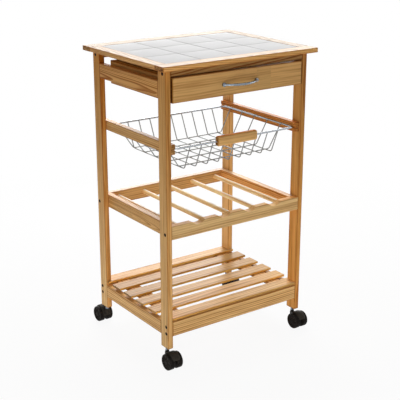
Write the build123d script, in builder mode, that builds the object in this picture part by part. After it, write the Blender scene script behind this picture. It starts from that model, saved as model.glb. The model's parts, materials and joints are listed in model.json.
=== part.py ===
"""Kitchen cart of solid pine with a tiled top, a drawer, a wire basket, a bottle rack and a slatted shelf.

Millimetres, +Z up, front towards -Y. The origin is on the floor, below the middle of the worktop.
"""
from build123d import *
import os

# Overall
WORKTOP_LENGTH = 470
WORKTOP_DEPTH = 380
WORKTOP_THICKNESS = 12
TOTAL_HEIGHT = 780
LEG_BOTTOM = 52
EASED_EDGE = 1.5
FINE_EDGE = 1

# Worktop
TILE_SIZE = 100
GROUT_WIDTH = 2
TILE_COLUMNS = 4
TILE_ROWS = 3
TILE_THICKNESS = 5
GROUT_RECESS = 0.8
TILE_EDGE_RADIUS = 1.0
TILE_PITCH = TILE_SIZE + GROUT_WIDTH
FIELD_LENGTH = TILE_COLUMNS * TILE_PITCH
FIELD_DEPTH = TILE_ROWS * TILE_PITCH
WORKTOP_BOTTOM = TOTAL_HEIGHT - WORKTOP_THICKNESS
TILE_BOTTOM = TOTAL_HEIGHT - TILE_THICKNESS

# Legs: their outer faces stand at +-FRAME_HALF_X and +-FRAME_HALF_Y
LEG_THICKNESS = 15
LEG_WIDTH = 33
FRAME_HALF_X = 217
FRAME_HALF_Y = 170
LEG_INNER_X = FRAME_HALF_X - LEG_THICKNESS
LEG_INNER_Y = FRAME_HALF_Y - LEG_WIDTH
LEG_CENTRE_X = FRAME_HALF_X - LEG_THICKNESS / 2
LEG_CENTRE_Y = FRAME_HALF_Y - LEG_WIDTH / 2

# Aprons and upper side rails
APRON_DEPTH = 26
APRON_HEIGHT = 17
SIDE_RAIL_HEIGHT = 38
SIDE_RAIL_TOP = 738.5

# Drawer
DRAWER_FRONT_LENGTH = 396
DRAWER_HEIGHT = 60
DRAWER_BOTTOM = 687.5
DRAWER_FRONT_THICKNESS = 14
DRAWER_FACE_Y = -172
DRAWER_HALF_X = 195
DRAWER_BOARD = 12
DRAWER_REAR_Y = 118
DRAWER_PANEL_THICKNESS = 3
DRAWER_PANEL_RISE = 5
DRAWER_PANEL_INSET = 4
RUNNER_HEIGHT = 10
RUNNER_CENTRE_Z = 719
RUNNER_REACH = 5.5
RUNNER_CLEARANCE = 0.5
RUNNER_FRONT_Y = -155
RUNNER_REAR_Y = 160

# Drawer handle
HANDLE_SPAN = 100
HANDLE_BAR = 6
HANDLE_PROJECTION = 26
HANDLE_Z = 715.5
HANDLE_ROOT = 2.5
HANDLE_FOOT = 10
HANDLE_FOOT_THICKNESS = 4
SCREW_SHANK = 4
SCREW_HEAD = 8
SCREW_HEAD_HEIGHT = 2.5
SCREW_GRIP = 3

# Basket and its rails
BASKET_RAIL_THICKNESS = 15
BASKET_RAIL_HEIGHT = 25
BASKET_RAIL_BOTTOM = 561
BASKET_RAIL_FRONT_Y = -166
BASKET_RAIL_REAR_Y = 160
RIM_WIRE = 5
RIM_HALF_X = 187
RIM_FRONT_Y = -161
RIM_REAR_Y = 139
RIM_Z = 573
RIM_CORNER = 12
GROOVE_HEIGHT = 5.8
GROOVE_DEPTH = 3.5
BASKET_RAIL_ROUNDING = 3
MESH_WIRE = 2.8
MESH_CORNER = 10
MESH_BOTTOM_Z = 509
LONG_WIRE_COUNT = 9
LONG_WIRE_PITCH = 34.5
LONG_BOTTOM_FRONT_Y = -131
LONG_BOTTOM_REAR_Y = 106
CROSS_WIRE_COUNT = 5
CROSS_TOP_PITCH = 55
CROSS_TOP_MIDDLE_Y = -2
CROSS_BOTTOM_PITCH = 53
CROSS_BOTTOM_MIDDLE_Y = -7.5
CROSS_BOTTOM_HALF_X = 144
GRIP_LENGTH = 122
GRIP_HEIGHT = 25
GRIP_DEPTH = 16
GRIP_ROUNDING = 5
GRIP_SLOT = 3.2
GRIP_SLOT_COUNT = 3

# Bottle rack
RACK_BOARD = 18
RACK_BOTTOM = 345.5
RACK_HEIGHT = 35
DOWEL_DIAMETER = 12
DOWEL_PITCH = 81
DOWEL_COUNT = 5
DOWEL_Z = 365
DOWEL_TENON = 10
REST_WIDTH = 40
REST_DEPTH = 8

# Bottom shelf
SHELF_RAIL_BOTTOM = 84.5
SHELF_RAIL_HEIGHT = 40
SHELF_RAIL_THICKNESS = 18
SHELF_SIDE_HEIGHT = 35.5
SLAT_COUNT = 6
SLAT_WIDTH = 40
SLAT_THICKNESS = 6
SLAT_PITCH = 59.6
SLAT_HALF_X = 214.5
BATTEN_WIDTH = 39
BATTEN_THICKNESS = 7
BATTEN_CENTRE_X = 169.5
BATTEN_RISE = 2
SLAT_BOTTOM = SHELF_RAIL_BOTTOM + SHELF_RAIL_HEIGHT + BATTEN_RISE

# Furniture bolts: (distance from the middle in Y, height) on every leg
BOLT_PLACES = [(157, 758.5), (161, 360), (161, 111), (161, 92.5)]
BOLT_HEAD = 9.5
BOLT_HEAD_HEIGHT = 3
BOLT_SHANK = 5
BOLT_LENGTH = 45
BOLT_SOCKET = 5
BOLT_SOCKET_DEPTH = 2
BOLT_RECESS = 0.4

# Casters
WHEEL_RADIUS = 21.5
WHEEL_OUTER_X = 19.5
WHEEL_INNER_X = 5
WHEEL_SHOULDER = 5
WHEEL_DISH_RADIUS = 14
WHEEL_DISH_DEPTH = 1.8
WHEEL_DISH_SLOPE = 2
WHEEL_HUB_RADIUS = 6
WHEEL_HUB_SLOPE = 1
WHEEL_CAP = 2.5
AXLE_RADIUS = 2.5
AXLE_CLEARANCE = 0.1
CASTER_TRAIL = 23
WEB_HALF_WIDTH = 4.2
WEB_HUB_RADIUS = 9
HOOD_RADIUS = 24.5
HOOD_HALF_WIDTH = 12
HOOD_GAP = 1
HOOD_REACH = 60
HOOD_TAIL_RISE = 25
COLLAR_RADIUS = 6.5
COLLAR_BOTTOM = 26
COLLAR_TOP = 47
STEM_RADIUS = 4.5
STEM_CLEARANCE = 0.1
STEM_SEAT = 34
STEM_TOP = 88
STEM_BORE_TOP = 90

# (name, side, end, direction in which the wheels trail)
CASTERS = [
    ("front_left", -1, -1, -1),
    ("front_right", 1, -1, -1),
    ("rear_left", -1, 1, 1),
    ("rear_right", 1, 1, -1),
]
SIDES = [("left", -1), ("right", 1)]
ENDS = [("front", -1), ("rear", 1)]


def save(builder, name):
    """Label a finished piece and write it as its own file."""
    builder.part.label = name
    export_step(builder.part, f"parts/{name}.step")


def save_group(solids, name):
    """Write touching pieces that share a name as separate solids of one file."""
    group = Compound(solids)
    group.label = name
    export_step(group, f"parts/{name}.step")


def middle(low, high):
    """Halfway between two places."""
    return (low + high) / 2


def board(length, depth, bottom, height, x=0.0, y=0.0, ease=EASED_EDGE, along=None):
    """A plank with its long edges eased, as an upright prism with a flat bottom at one height."""
    with BuildPart(Plane((x, y, bottom + height / 2)), mode=Mode.PRIVATE) as plank:
        Box(length, depth, height)
        if along is not None:
            fillet(plank.edges().filter_by(along), ease)
    return plank.part


def bolt_holes(side, end):
    """Holes for the furniture bolts of one corner, at their real places."""
    with BuildPart(mode=Mode.PRIVATE) as holes:
        for y, z in BOLT_PLACES:
            with BuildSketch(Plane((side * FRAME_HALF_X, end * y, z), z_dir=(-side, 0, 0))):
                Circle(BOLT_SHANK / 2)
            extrude(amount=BOLT_LENGTH)
            with BuildSketch(Plane((side * FRAME_HALF_X, end * y, z), z_dir=(-side, 0, 0))):
                Circle(BOLT_HEAD / 2)
            extrude(amount=BOLT_RECESS + BOLT_HEAD_HEIGHT)
    return holes.part


def make_worktop():
    """Four border rails, the base board, the tiles and the grout between them."""
    border_depth = (WORKTOP_DEPTH - FIELD_DEPTH) / 2
    border_length = (WORKTOP_LENGTH - FIELD_LENGTH) / 2
    for name, end in ENDS:
        plank = board(WORKTOP_LENGTH, border_depth, WORKTOP_BOTTOM, WORKTOP_THICKNESS,
                      y=end * (WORKTOP_DEPTH - border_depth) / 2)
        with BuildPart() as rail:
            add(plank)
            outer = rail.faces().sort_by(Axis.Y)[0 if end < 0 else -1]
            fillet(outer.edges().filter_by(Axis.X), EASED_EDGE)
        save(rail, f"worktop_rail_{name}")
    for name, side in SIDES:
        plank = board(border_length, FIELD_DEPTH, WORKTOP_BOTTOM, WORKTOP_THICKNESS,
                      x=side * (WORKTOP_LENGTH - border_length) / 2)
        with BuildPart() as rail:
            add(plank)
            outer = rail.faces().sort_by(Axis.X)[0 if side < 0 else -1]
            fillet(outer.edges().filter_by(Axis.Y), EASED_EDGE)
        save(rail, f"worktop_rail_{name}")

    plank = board(FIELD_LENGTH, FIELD_DEPTH, WORKTOP_BOTTOM, TILE_BOTTOM - WORKTOP_BOTTOM)
    with BuildPart() as base:
        add(plank)
    save(base, "worktop_base_board")

    with BuildPart() as tiles:
        with BuildSketch(Plane.XY.offset(TILE_BOTTOM)):
            with GridLocations(TILE_PITCH, TILE_PITCH, TILE_COLUMNS, TILE_ROWS):
                Rectangle(TILE_SIZE, TILE_SIZE)
        extrude(amount=TILE_THICKNESS)
        fillet(tiles.faces().filter_by(Axis.Z).group_by(Axis.Z)[-1].edges(), TILE_EDGE_RADIUS)
    save(tiles, "worktop_tiles")

    with BuildPart() as grout:
        with BuildSketch(Plane.XY.offset(TILE_BOTTOM)):
            Rectangle(FIELD_LENGTH, FIELD_DEPTH)
            with GridLocations(TILE_PITCH, TILE_PITCH, TILE_COLUMNS, TILE_ROWS):
                Rectangle(TILE_SIZE, TILE_SIZE, mode=Mode.SUBTRACT)
        extrude(amount=TILE_THICKNESS - GROUT_RECESS)
    save(grout, "worktop_grout")


def make_legs():
    """Four legs, each bored for its bolts and for the stem of its caster."""
    for end_name, end in ENDS:
        for side_name, side in SIDES:
            x = side * LEG_CENTRE_X
            y = end * LEG_CENTRE_Y
            plank = board(LEG_THICKNESS, LEG_WIDTH, LEG_BOTTOM, WORKTOP_BOTTOM - LEG_BOTTOM,
                          x=x, y=y, along=Axis.Z)
            holes = bolt_holes(side, end)
            with BuildPart() as leg:
                add(plank)
                add(holes, mode=Mode.SUBTRACT)
                with BuildSketch(Plane((x, y, LEG_BOTTOM))):
                    Circle(STEM_RADIUS + STEM_CLEARANCE)
                extrude(amount=STEM_BORE_TOP - LEG_BOTTOM, mode=Mode.SUBTRACT)
            save(leg, f"leg_{end_name}_{side_name}")


def make_upper_frame():
    """Aprons, upper side rails and the drawer's runners."""
    for name, end in ENDS:
        plank = board(2 * LEG_INNER_X, APRON_DEPTH, WORKTOP_BOTTOM - APRON_HEIGHT, APRON_HEIGHT,
                      y=end * (FRAME_HALF_Y - APRON_DEPTH / 2), along=Axis.X, ease=FINE_EDGE)
        holes = [bolt_holes(side, end) for _, side in SIDES]
        with BuildPart() as apron:
            add(plank)
            add(holes, mode=Mode.SUBTRACT)
        save(apron, f"apron_{name}")
    for name, side in SIDES:
        plank = board(LEG_THICKNESS, 2 * LEG_INNER_Y, SIDE_RAIL_TOP - SIDE_RAIL_HEIGHT,
                      SIDE_RAIL_HEIGHT, x=side * LEG_CENTRE_X, along=Axis.Y)
        with BuildPart() as rail:
            add(plank)
        save(rail, f"upper_side_rail_{name}")
        reach = LEG_INNER_X - DRAWER_HALF_X + RUNNER_REACH
        strip = board(reach, RUNNER_REAR_Y - RUNNER_FRONT_Y, RUNNER_CENTRE_Z - RUNNER_HEIGHT / 2,
                      RUNNER_HEIGHT, x=side * (LEG_INNER_X - reach / 2),
                      y=middle(RUNNER_FRONT_Y, RUNNER_REAR_Y))
        with BuildPart() as runner:
            add(strip)
            inner = runner.faces().sort_by(Axis.X)[-1 if side < 0 else 0]
            chamfer(inner.edges().filter_by(Axis.Y), FINE_EDGE)
        save(runner, f"drawer_runner_{name}")


def make_basket_rails():
    """Two rails on the legs' inner faces, grooved for the basket's rim wire."""
    length = BASKET_RAIL_REAR_Y - BASKET_RAIL_FRONT_Y
    inner_x = LEG_INNER_X - BASKET_RAIL_THICKNESS
    for name, side in SIDES:
        plank = board(BASKET_RAIL_THICKNESS, length, BASKET_RAIL_BOTTOM, BASKET_RAIL_HEIGHT,
                      x=side * (LEG_INNER_X - BASKET_RAIL_THICKNESS / 2),
                      y=middle(BASKET_RAIL_FRONT_Y, BASKET_RAIL_REAR_Y))
        with BuildPart() as rail:
            add(plank)
            with BuildSketch(Plane((side * (inner_x + GROOVE_DEPTH / 2), BASKET_RAIL_FRONT_Y, RIM_Z),
                                   z_dir=(0, 1, 0), x_dir=(1, 0, 0))):
                Rectangle(GROOVE_DEPTH, GROOVE_HEIGHT)
            extrude(amount=length, mode=Mode.SUBTRACT)
            end_corners = rail.edges().filter_by(Axis.Z).group_by(Axis.X)[-1 if side < 0 else 0]
            fillet(end_corners, BASKET_RAIL_ROUNDING)
            long_edges = rail.edges().filter_by(Axis.Y).group_by(Axis.Z)
            fillet(long_edges[0] + long_edges[-1], FINE_EDGE)
        save(rail, f"basket_rail_{name}")


def make_rack():
    """Bottle rack: front rail with scalloped rests, rear rail, side boards and dowels."""
    rail_y = FRAME_HALF_Y - RACK_BOARD / 2
    inner_y = FRAME_HALF_Y - RACK_BOARD
    rest_radius = ((REST_WIDTH / 2) ** 2 + REST_DEPTH ** 2) / (2 * REST_DEPTH)
    rack_top = RACK_BOTTOM + RACK_HEIGHT
    for name, end in ENDS:
        plank = board(2 * LEG_INNER_X, RACK_BOARD, RACK_BOTTOM, RACK_HEIGHT, y=end * rail_y,
                      along=Axis.X)
        holes = [bolt_holes(side, end) for _, side in SIDES]
        with BuildPart() as rail:
            add(plank)
            if end < 0:
                with BuildSketch(Plane((0, -FRAME_HALF_Y, rack_top + rest_radius - REST_DEPTH),
                                       z_dir=(0, 1, 0), x_dir=(1, 0, 0))):
                    with GridLocations(DOWEL_PITCH, 1, DOWEL_COUNT - 1, 1):
                        Circle(rest_radius)
                extrude(amount=RACK_BOARD, mode=Mode.SUBTRACT)
            with BuildSketch(Plane((0, end * inner_y, DOWEL_Z), z_dir=(0, end, 0), x_dir=(1, 0, 0))):
                with GridLocations(DOWEL_PITCH, 1, DOWEL_COUNT, 1):
                    Circle(DOWEL_DIAMETER / 2)
            extrude(amount=DOWEL_TENON, mode=Mode.SUBTRACT)
            add(holes, mode=Mode.SUBTRACT)
        save(rail, f"rack_rail_{name}")
    for name, side in SIDES:
        plank = board(RACK_BOARD, 2 * inner_y, RACK_BOTTOM, RACK_HEIGHT,
                      x=side * (LEG_INNER_X - RACK_BOARD / 2), along=Axis.Y)
        with BuildPart() as side_board:
            add(plank)
        save(side_board, f"rack_side_{name}")
    with BuildPart() as dowels:
        with BuildSketch(Plane((0, -inner_y - DOWEL_TENON, DOWEL_Z), z_dir=(0, 1, 0), x_dir=(1, 0, 0))):
            with GridLocations(DOWEL_PITCH, 1, DOWEL_COUNT, 1):
                Circle(DOWEL_DIAMETER / 2)
        extrude(amount=2 * (inner_y + DOWEL_TENON))
    save(dowels, "rack_dowels")


def make_shelf():
    """Bottom shelf: rails, lower side boards, battens that stand a little above the rails, and the
    slats on them; the outer slats are notched at the legs."""
    rail_y = FRAME_HALF_Y - SHELF_RAIL_THICKNESS / 2
    inner_y = FRAME_HALF_Y - SHELF_RAIL_THICKNESS
    for name, end in ENDS:
        plank = board(2 * LEG_INNER_X, SHELF_RAIL_THICKNESS, SHELF_RAIL_BOTTOM, SHELF_RAIL_HEIGHT,
                      y=end * rail_y, along=Axis.X)
        holes = [bolt_holes(side, end) for _, side in SIDES]
        with BuildPart() as rail:
            add(plank)
            add(holes, mode=Mode.SUBTRACT)
        save(rail, f"shelf_rail_{name}")
    for name, side in SIDES:
        plank = board(LEG_THICKNESS, 2 * LEG_INNER_Y, SHELF_RAIL_BOTTOM, SHELF_SIDE_HEIGHT,
                      x=side * LEG_CENTRE_X, along=Axis.Y)
        with BuildPart() as side_board:
            add(plank)
        save(side_board, f"shelf_side_{name}")
        strip = board(BATTEN_WIDTH, 2 * inner_y, SLAT_BOTTOM - BATTEN_THICKNESS, BATTEN_THICKNESS,
                      x=side * BATTEN_CENTRE_X, along=Axis.Y, ease=FINE_EDGE)
        with BuildPart() as batten:
            add(strip)
        save(batten, f"shelf_batten_{name}")
    notches = [
        board(LEG_THICKNESS, LEG_WIDTH, SLAT_BOTTOM, SLAT_THICKNESS,
              x=side * LEG_CENTRE_X, y=end * LEG_CENTRE_Y)
        for _, side in SIDES
        for _, end in ENDS
    ]
    for number in range(SLAT_COUNT):
        plank = board(2 * SLAT_HALF_X, SLAT_WIDTH, SLAT_BOTTOM, SLAT_THICKNESS,
                      y=(number - (SLAT_COUNT - 1) / 2) * SLAT_PITCH, along=Axis.X)
        with BuildPart() as slat:
            add(plank)
            add(notches, mode=Mode.SUBTRACT)
        save(slat, f"shelf_slat_{number + 1}")


def make_bolts():
    """Sixteen furniture bolts with a socket in their heads, driven in from the legs' outer faces."""
    with BuildPart() as bolts:
        for _, side in SIDES:
            for _, end in ENDS:
                for y, z in BOLT_PLACES:
                    head_x = side * (FRAME_HALF_X - BOLT_RECESS)
                    face = Plane((head_x, end * y, z), z_dir=(-side, 0, 0))
                    with BuildSketch(face):
                        Circle(BOLT_HEAD / 2)
                    extrude(amount=BOLT_HEAD_HEIGHT)
                    with BuildSketch(face):
                        Circle(BOLT_SHANK / 2)
                    extrude(amount=BOLT_LENGTH - BOLT_RECESS)
                    with BuildSketch(face):
                        RegularPolygon(BOLT_SOCKET / 2, 6)
                    extrude(amount=BOLT_SOCKET_DEPTH, mode=Mode.SUBTRACT)
    save(bolts, "frame_bolts")


def drawer_panel():
    """The drawer's thin bottom, which its front, sides and back are grooved for."""
    half = DRAWER_HALF_X - DRAWER_BOARD + DRAWER_PANEL_INSET
    front_y = DRAWER_FACE_Y + DRAWER_FRONT_THICKNESS - DRAWER_PANEL_INSET
    rear_y = DRAWER_REAR_Y - DRAWER_BOARD + DRAWER_PANEL_INSET
    return board(2 * half, rear_y - front_y, DRAWER_BOTTOM + DRAWER_PANEL_RISE,
                 DRAWER_PANEL_THICKNESS, y=middle(front_y, rear_y))


def make_drawer():
    """Drawer box with grooved sides, and its bow handle with two screws from inside."""
    back_of_front = DRAWER_FACE_Y + DRAWER_FRONT_THICKNESS
    screw_places = [-HANDLE_SPAN / 2, HANDLE_SPAN / 2]
    panel = drawer_panel()
    plank = board(DRAWER_FRONT_LENGTH, DRAWER_FRONT_THICKNESS, DRAWER_BOTTOM, DRAWER_HEIGHT,
                  y=middle(DRAWER_FACE_Y, back_of_front))
    with BuildPart() as front:
        add(plank)
        face = front.faces().sort_by(Axis.Y)[0]
        fillet(face.edges(), EASED_EDGE)
        add(panel, mode=Mode.SUBTRACT)
        for x in screw_places:
            with BuildSketch(Plane((x, back_of_front, HANDLE_Z), z_dir=(0, -1, 0))):
                Circle(SCREW_SHANK / 2)
            extrude(amount=DRAWER_FRONT_THICKNESS, mode=Mode.SUBTRACT)
    save(front, "drawer_front")

    side_length = DRAWER_REAR_Y - back_of_front
    groove_depth = RUNNER_REACH + RUNNER_CLEARANCE
    for name, side in SIDES:
        plank = board(DRAWER_BOARD, side_length, DRAWER_BOTTOM, DRAWER_HEIGHT,
                      x=side * (DRAWER_HALF_X - DRAWER_BOARD / 2),
                      y=middle(back_of_front, DRAWER_REAR_Y), along=Axis.Y, ease=FINE_EDGE)
        groove = board(groove_depth, side_length,
                       RUNNER_CENTRE_Z - RUNNER_HEIGHT / 2 - RUNNER_CLEARANCE,
                       RUNNER_HEIGHT + 2 * RUNNER_CLEARANCE,
                       x=side * (DRAWER_HALF_X - groove_depth / 2),
                       y=middle(back_of_front, DRAWER_REAR_Y))
        with BuildPart() as side_board:
            add(plank)
            add([panel, groove], mode=Mode.SUBTRACT)
        save(side_board, f"drawer_side_{name}")

    plank = board(2 * (DRAWER_HALF_X - DRAWER_BOARD), DRAWER_BOARD, DRAWER_BOTTOM, DRAWER_HEIGHT,
                  y=DRAWER_REAR_Y - DRAWER_BOARD / 2, along=Axis.X, ease=FINE_EDGE)
    with BuildPart() as back:
        add(plank)
        add(panel, mode=Mode.SUBTRACT)
    save(back, "drawer_back")

    with BuildPart() as bottom:
        add(panel)
    save(bottom, "drawer_bottom")

    half = HANDLE_SPAN / 2
    root_y = DRAWER_FACE_Y - HANDLE_ROOT
    bow_y = DRAWER_FACE_Y - HANDLE_PROJECTION + HANDLE_BAR / 2
    with BuildPart() as handle:
        with BuildLine(Plane.XY.offset(HANDLE_Z)) as route:
            ThreePointArc((-half, root_y), (0, bow_y), (half, root_y))
        with BuildSketch(Plane(route.line @ 0, z_dir=route.line % 0)):
            Circle(HANDLE_BAR / 2)
        sweep(path=route.line)
        for x in screw_places:
            with BuildSketch(Plane((x, DRAWER_FACE_Y, HANDLE_Z), z_dir=(0, -1, 0))):
                Circle(HANDLE_FOOT / 2)
            extrude(amount=HANDLE_FOOT_THICKNESS)
            with BuildSketch(Plane((x, DRAWER_FACE_Y, HANDLE_Z), z_dir=(0, -1, 0))):
                Circle(SCREW_SHANK / 2)
            extrude(amount=SCREW_GRIP, mode=Mode.SUBTRACT)
    save(handle, "drawer_handle")

    with BuildPart() as screws:
        for x in screw_places:
            with BuildSketch(Plane((x, back_of_front, HANDLE_Z), z_dir=(0, 1, 0))):
                Circle(SCREW_HEAD / 2)
            extrude(amount=SCREW_HEAD_HEIGHT)
            with BuildSketch(Plane((x, back_of_front, HANDLE_Z), z_dir=(0, -1, 0))):
                Circle(SCREW_SHANK / 2)
            extrude(amount=DRAWER_FRONT_THICKNESS + SCREW_GRIP)
    save(screws, "drawer_handle_screws")


def bent_wire(points):
    """A mesh wire along straight runs joined by tangent arcs."""
    with BuildPart(mode=Mode.PRIVATE) as wire:
        with BuildLine() as route:
            FilletPolyline(*points, radius=MESH_CORNER)
        with BuildSketch(Plane(route.line @ 0, z_dir=route.line % 0)):
            Circle(MESH_WIRE / 2)
        sweep(path=route.line)
    return wire.part


def make_basket():
    """Wire basket: thick rim wire, bent mesh wires welded inside it, and a wooden grip at the front."""
    with BuildPart() as rim:
        with BuildLine(Plane.XY.offset(RIM_Z)) as route:
            Polyline((-RIM_HALF_X, RIM_FRONT_Y), (RIM_HALF_X, RIM_FRONT_Y),
                     (RIM_HALF_X, RIM_REAR_Y), (-RIM_HALF_X, RIM_REAR_Y), close=True)
            fillet(route.vertices(), RIM_CORNER)
        with BuildSketch(Plane((0, RIM_FRONT_Y, RIM_Z), z_dir=(1, 0, 0))):
            Circle(RIM_WIRE / 2)
        sweep(path=route.line)
    save(rim, "basket_rim_wire")

    weld = (RIM_WIRE + MESH_WIRE) / 2
    wires = []
    for number in range(LONG_WIRE_COUNT):
        x = (number - (LONG_WIRE_COUNT - 1) / 2) * LONG_WIRE_PITCH
        wires.append(bent_wire([(x, RIM_FRONT_Y + weld, RIM_Z), (x, LONG_BOTTOM_FRONT_Y, MESH_BOTTOM_Z),
                                (x, LONG_BOTTOM_REAR_Y, MESH_BOTTOM_Z), (x, RIM_REAR_Y - weld, RIM_Z)]))
    with BuildPart() as long_wires:
        add(wires)
    save(long_wires, "basket_long_wires")

    half_top = RIM_HALF_X - weld
    cross_z = MESH_BOTTOM_Z + MESH_WIRE
    wires = []
    for number in range(CROSS_WIRE_COUNT):
        step = number - (CROSS_WIRE_COUNT - 1) / 2
        top_y = CROSS_TOP_MIDDLE_Y + step * CROSS_TOP_PITCH
        bottom_y = CROSS_BOTTOM_MIDDLE_Y + step * CROSS_BOTTOM_PITCH
        wires.append(bent_wire([(-half_top, top_y, RIM_Z), (-CROSS_BOTTOM_HALF_X, bottom_y, cross_z),
                                (CROSS_BOTTOM_HALF_X, bottom_y, cross_z), (half_top, top_y, RIM_Z)]))
    with BuildPart() as cross_wires:
        add(wires)
    save(cross_wires, "basket_cross_wires")

    block = board(GRIP_LENGTH, GRIP_DEPTH, RIM_Z - GRIP_HEIGHT / 2, GRIP_HEIGHT, y=RIM_FRONT_Y,
                  along=Axis.X, ease=GRIP_ROUNDING)
    with BuildPart() as grip:
        add(block)
        with BuildSketch(Plane((-GRIP_LENGTH / 2, RIM_FRONT_Y, RIM_Z), z_dir=(1, 0, 0))):
            Circle(RIM_WIRE / 2)
        extrude(amount=GRIP_LENGTH, mode=Mode.SUBTRACT)
        slot_front_y = RIM_FRONT_Y + weld - GRIP_SLOT / 2
        with BuildSketch(Plane((0, middle(slot_front_y, RIM_FRONT_Y + GRIP_DEPTH / 2), MESH_BOTTOM_Z))):
            with GridLocations(LONG_WIRE_PITCH, 1, GRIP_SLOT_COUNT, 1):
                Rectangle(GRIP_SLOT, RIM_FRONT_Y + GRIP_DEPTH / 2 - slot_front_y)
        extrude(amount=RIM_Z + GRIP_SLOT / 2 - MESH_BOTTOM_Z, mode=Mode.SUBTRACT)
    save(grip, "basket_handle")


def make_casters():
    """Four twin-wheel casters, each a housing with its stem, and a pair of wheels on an axle."""
    dish_x = WHEEL_OUTER_X - WHEEL_DISH_DEPTH
    axle_end = WHEEL_OUTER_X - WHEEL_CAP
    for name, side, end, trail in CASTERS:
        x = side * LEG_CENTRE_X
        y = end * LEG_CENTRE_Y
        axle_y = y + trail * CASTER_TRAIL
        axle = Axis((x, axle_y, WHEEL_RADIUS), (1, 0, 0))
        section = Plane(axle.position, x_dir=(1, 0, 0), z_dir=(0, -1, 0))
        across = Plane(axle.position, x_dir=(0, -trail, 0), z_dir=(-trail, 0, 0))

        with BuildPart() as housing:
            with BuildSketch(across):
                Circle(HOOD_RADIUS)
                with BuildLine():
                    Polyline((0, 0), (CASTER_TRAIL, -HOOD_GAP), (CASTER_TRAIL, -HOOD_REACH),
                             (-HOOD_REACH, -HOOD_REACH), (-HOOD_REACH, HOOD_TAIL_RISE), close=True)
                make_face(mode=Mode.SUBTRACT)
            extrude(amount=HOOD_HALF_WIDTH, both=True)
            with BuildSketch(Plane((x, y, COLLAR_BOTTOM))):
                Circle(COLLAR_RADIUS)
            extrude(amount=COLLAR_TOP - COLLAR_BOTTOM)
            for low, high in ((WEB_HALF_WIDTH, HOOD_REACH), (-HOOD_REACH, -WEB_HALF_WIDTH)):
                with BuildSketch(Plane((x + low, axle_y, WHEEL_RADIUS), z_dir=(1, 0, 0))):
                    Circle(WHEEL_RADIUS + HOOD_GAP)
                extrude(amount=high - low, mode=Mode.SUBTRACT)
            with BuildSketch(across):
                Circle(WEB_HUB_RADIUS)
            extrude(amount=WEB_HALF_WIDTH, both=True)
            with BuildSketch(across):
                Circle(AXLE_RADIUS + AXLE_CLEARANCE)
            extrude(amount=HOOD_HALF_WIDTH, both=True, mode=Mode.SUBTRACT)
            with BuildSketch(Plane((x, y, STEM_SEAT))):
                Circle(STEM_RADIUS)
            extrude(amount=COLLAR_TOP - STEM_SEAT, mode=Mode.SUBTRACT)
        save(housing, f"caster_{name}_housing")

        with BuildPart() as stem:
            with BuildSketch(Plane((x, y, STEM_SEAT))):
                Circle(STEM_RADIUS)
            extrude(amount=STEM_TOP - STEM_SEAT)
            chamfer(stem.faces().sort_by(Axis.Z)[-1].edges(), FINE_EDGE)
        save(stem, f"caster_{name}_stem")

        with BuildPart() as wheels:
            for direction in (-1, 1):
                with BuildSketch(section):
                    with BuildLine():
                        Polyline(
                            (direction * WHEEL_INNER_X, AXLE_RADIUS),
                            (direction * WHEEL_INNER_X, WHEEL_RADIUS),
                            (direction * (WHEEL_OUTER_X - WHEEL_SHOULDER), WHEEL_RADIUS),
                            (direction * WHEEL_OUTER_X, WHEEL_RADIUS - WHEEL_SHOULDER),
                            (direction * WHEEL_OUTER_X, WHEEL_DISH_RADIUS),
                            (direction * dish_x, WHEEL_DISH_RADIUS - WHEEL_DISH_SLOPE),
                            (direction * dish_x, WHEEL_HUB_RADIUS + WHEEL_HUB_SLOPE),
                            (direction * WHEEL_OUTER_X, WHEEL_HUB_RADIUS),
                            (direction * WHEEL_OUTER_X, 0),
                            (direction * axle_end, 0),
                            (direction * axle_end, AXLE_RADIUS),
                            close=True)
                    make_face()
                revolve(axis=axle)
        with BuildPart() as axle_pin:
            with BuildSketch(across):
                Circle(AXLE_RADIUS)
            extrude(amount=axle_end, both=True)
        save_group([*wheels.solids(), *axle_pin.solids()], f"caster_{name}_wheels")


os.makedirs("parts", exist_ok=True)
make_worktop()
make_legs()
make_upper_frame()
make_basket_rails()
make_rack()
make_shelf()
make_bolts()
make_drawer()
make_basket()
make_casters()
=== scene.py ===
"""Kitchen cart of solid pine: the finish of every piece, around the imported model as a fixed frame."""
import json
import math
import random

import bmesh
import bpy
from bpy.props import FloatProperty, FloatVectorProperty, PointerProperty
from mathutils import Euler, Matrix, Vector


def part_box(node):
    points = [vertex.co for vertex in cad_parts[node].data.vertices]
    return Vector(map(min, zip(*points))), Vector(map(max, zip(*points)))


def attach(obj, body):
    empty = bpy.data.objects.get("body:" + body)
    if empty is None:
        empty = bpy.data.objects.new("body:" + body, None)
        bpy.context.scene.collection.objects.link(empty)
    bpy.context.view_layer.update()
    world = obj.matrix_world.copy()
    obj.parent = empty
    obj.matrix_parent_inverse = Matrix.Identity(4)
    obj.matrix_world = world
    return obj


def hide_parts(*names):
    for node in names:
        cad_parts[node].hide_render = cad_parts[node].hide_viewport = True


bl_info = {
    "name": "Kitchen Cart",
    "version": (1, 0, 0),
    "blender": (4, 5, 0),
    "location": "View3D > Sidebar > Cart",
    "description": "Finishes, casters, tiles and stage of a pine kitchen cart",
    "category": "Object",
}

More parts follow.
